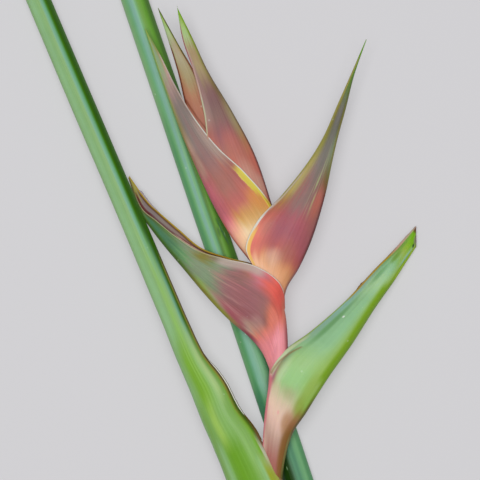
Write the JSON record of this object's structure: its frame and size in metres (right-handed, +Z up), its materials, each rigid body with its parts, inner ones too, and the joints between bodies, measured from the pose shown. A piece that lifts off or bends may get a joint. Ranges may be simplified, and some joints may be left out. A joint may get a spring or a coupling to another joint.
{
  "type": "heliconia flower",
  "caption": "Cut heliconia shoot lying flat: zigzag flower stem with folded, pointed boat-shaped bracts and long leaf stalks, one opening into a sheath.",
  "frame": {"origin": "middle of the lying shoot's outline, on the surface it rests on", "axes": "+Y along the shoot from the cut end towards the bud, +X across it to the right as seen from above, +Z up from the surface"},
  "size_m": [0.1998, 0.2998, 0.0295],
  "materials": {
    "flower_stem_skin": "smooth pink plant skin, soft satin",
    "green_bract": "smooth waxy green bract, satin, fine long veins",
    "rose_bract": "smooth waxy rose and olive bract, satin, fine long veins and pale margins",
    "leaf_stalk_skin": "smooth waxy green leaf stalk, satin, long stripes"
  },
  "bodies": {
    "root": {"flower_stem": "flower_stem_skin", "bract_1": "green_bract", "bract_2": "rose_bract", "bract_3": "rose_bract", "bract_4": "rose_bract", "bract_5": "rose_bract", "bract_6": "rose_bract", "front_leaf_stalk": "leaf_stalk_skin", "rear_leaf_stalk": "leaf_stalk_skin"}
  },
  "joints": []
}
